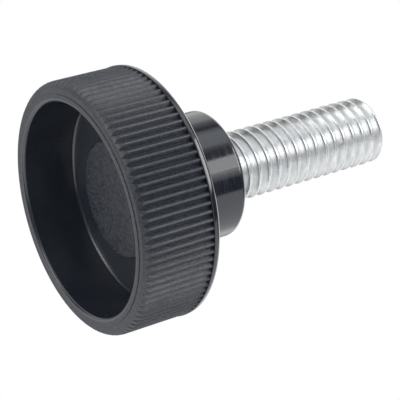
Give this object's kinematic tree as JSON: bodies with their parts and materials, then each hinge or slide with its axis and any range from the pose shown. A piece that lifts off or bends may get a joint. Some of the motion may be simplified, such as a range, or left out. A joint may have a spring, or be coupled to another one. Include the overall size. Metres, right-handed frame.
{
  "type": "knurled knob",
  "caption": "Knurled knob: open cup-shaped black plastic head with a finely ridged rim, a round hub behind it and a zinc-plated steel threaded stud.",
  "frame": {"origin": "centre of the circle of the open rim's lip, which the knob stands on", "axes": "+Z along the stud, from the open face of the head through the hub to the stud's free end; a ridge of the knurl lies on +X"},
  "size_m": [0.0212, 0.0212, 0.0292],
  "materials": {
    "black_plastic": "moulded black thermoplastic: satin on the ridges, glossy on the hub and in the cup, fine matte grain on the pad",
    "zinc_plated_steel": "bright zinc plating on a rolled thread"
  },
  "bodies": {
    "root": {"knob_body": "black_plastic", "threaded_stud": "zinc_plated_steel"}
  },
  "joints": []
}
